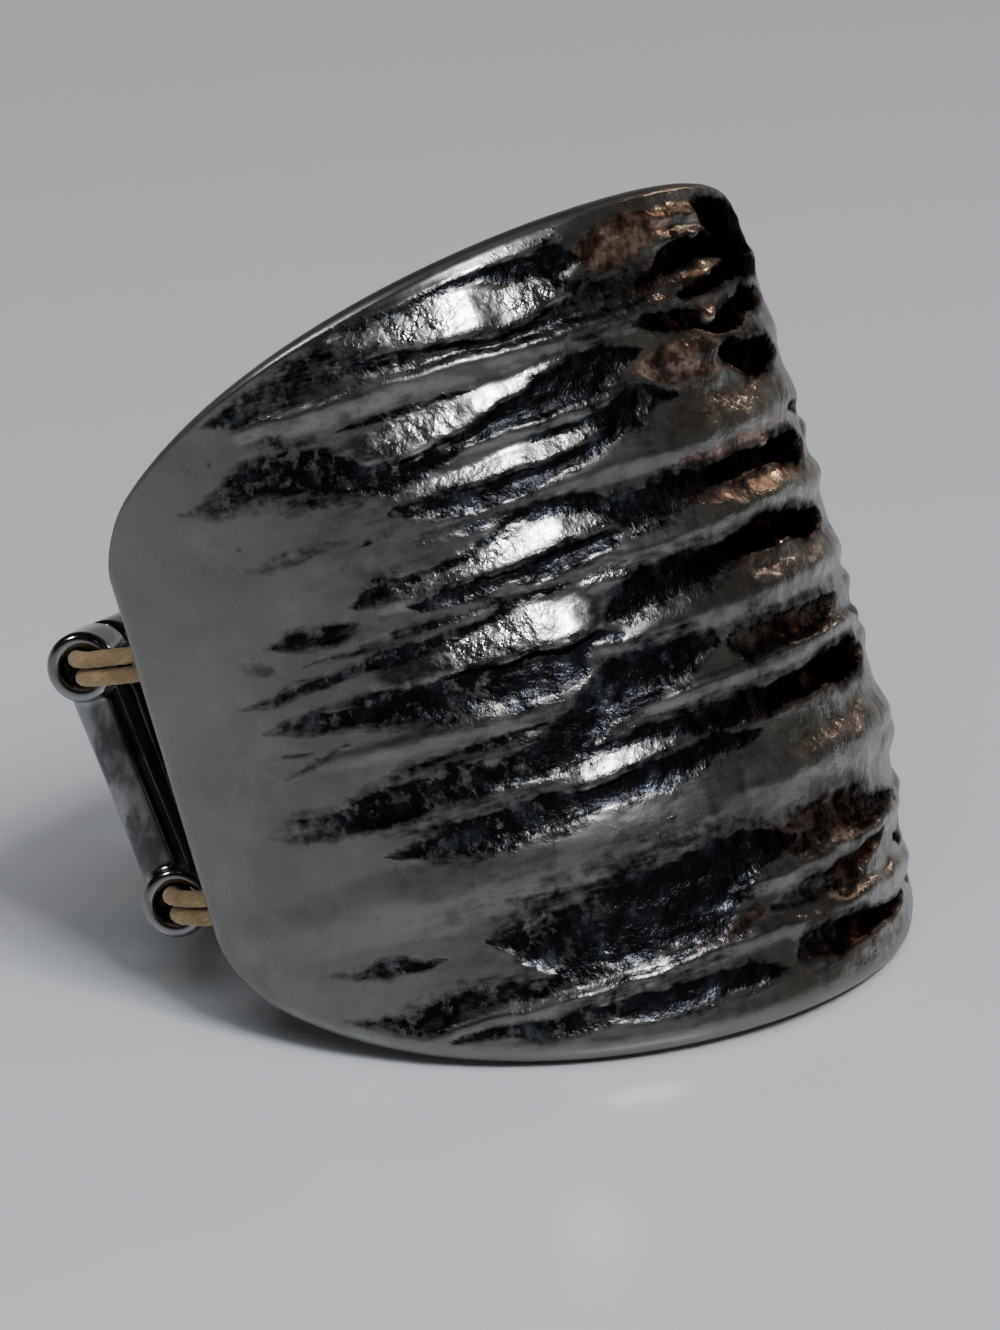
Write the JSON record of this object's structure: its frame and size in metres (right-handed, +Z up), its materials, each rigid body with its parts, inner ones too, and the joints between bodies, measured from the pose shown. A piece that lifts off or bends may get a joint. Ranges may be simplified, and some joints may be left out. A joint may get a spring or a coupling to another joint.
{
  "type": "stretch ring",
  "caption": "Finger ring with a wide, bark-textured oval metal shield and a stretch band of double-eyelet metal links on elastic cord, lying on its side.",
  "frame": {"origin": "middle of the part's bounding box, at the surface that the ring lies on", "axes": "+Z up from that surface, +X towards the apex of the shield, -X towards the band, +Y and -Y towards the shield's two ends; the finger axis leans from +Z towards -X"},
  "size_m": [0.0208, 0.0216, 0.0199],
  "materials": {
    "shield_metal": "polished gunmetal plating, darker in the grooves",
    "link_metal": "polished gunmetal plating",
    "elastic": "tan elastic cord, slightly fuzzy"
  },
  "bodies": {
    "root": {"shield": "shield_metal", "cord_outer": "elastic", "cord_inner": "elastic", "link_1": "link_metal", "link_2": "link_metal", "link_3": "link_metal", "link_4": "link_metal", "link_5": "link_metal", "link_6": "link_metal", "link_7": "link_metal", "link_8": "link_metal"}
  },
  "joints": []
}
